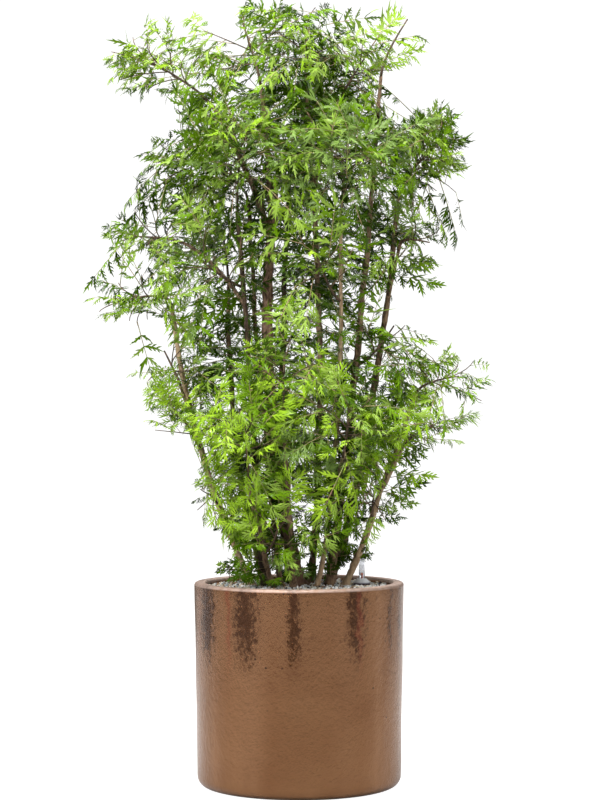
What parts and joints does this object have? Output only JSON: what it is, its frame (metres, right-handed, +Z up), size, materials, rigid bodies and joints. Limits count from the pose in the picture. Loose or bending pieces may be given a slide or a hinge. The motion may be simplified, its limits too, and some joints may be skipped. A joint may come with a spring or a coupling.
{
  "type": "potted ming aralia",
  "caption": "Large potted ming aralia: woody stems fanning from a glazed cylinder planter of pumice, carrying masses of feathery cut leaves.",
  "frame": {"origin": "centre of the pot's flat underside", "axes": "+Z up along the pot's axis; -Y towards the picture's camera, +X to its right"},
  "size_m": [0.8265, 0.5667, 1.6123],
  "materials": {
    "copper_glaze": "gloss",
    "pumice": "matte",
    "clear_tube": "gloss",
    "gauge_collar": "gloss",
    "gauge_float": "satin",
    "bark": "matte",
    "foliage": "satin"
  },
  "bodies": {
    "root": {"bough_front_right": "bark", "bough_left": "bark", "bough_low_left": "bark", "bough_low_right": "bark", "bough_right": "bark", "bough_top_left": "bark", "bough_top_middle": "bark", "bough_top_right": "bark", "filling": "pumice", "gauge_collar": "gauge_collar", "gauge_float": "gauge_float", "gauge_tube": "clear_tube", "leaves_back_left": "foliage", "leaves_back_low": "foliage", "leaves_back_low_left": "foliage", "leaves_back_low_right": "foliage", "leaves_back_right": "foliage", "leaves_back_top": "foliage", "leaves_back_waist": "foliage", "leaves_front_left": "foliage", "leaves_front_low": "foliage", "leaves_front_middle": "foliage", "leaves_front_right": "foliage", "leaves_heart": "foliage", "leaves_left_arm": "foliage", "leaves_left_arm_upper": "foliage", "leaves_left_lower": "foliage", "leaves_left_lowest": "foliage", "leaves_left_upper": "foliage", "leaves_low_left": "foliage", "leaves_right": "foliage", "leaves_right_arm": "foliage", "leaves_right_lobe": "foliage", "leaves_right_low": "foliage", "leaves_right_lower": "foliage", "leaves_right_waist": "foliage", "leaves_top_left": "foliage", "leaves_top_middle": "foliage", "leaves_top_middle_left": "foliage", "leaves_top_right": "foliage", "leaves_top_wisp": "foliage", "leaves_upper_front_left": "foliage", "leaves_upper_front_right": "foliage", "leaves_waist_front": "foliage", "leaves_waist_left": "foliage", "pot": "copper_glaze", "sprig": "foliage", "stem_back": "bark", "stem_back_left": "bark", "stem_front": "bark", "stem_front_left": "bark", "stem_left": "bark", "stem_left_inner": "bark", "stem_middle": "bark", "stem_pale": "bark", "stem_right": "bark", "stem_right_inner": "bark", "stem_right_outer": "bark", "stem_slim": "bark", "trunk": "bark"}
  },
  "joints": []
}
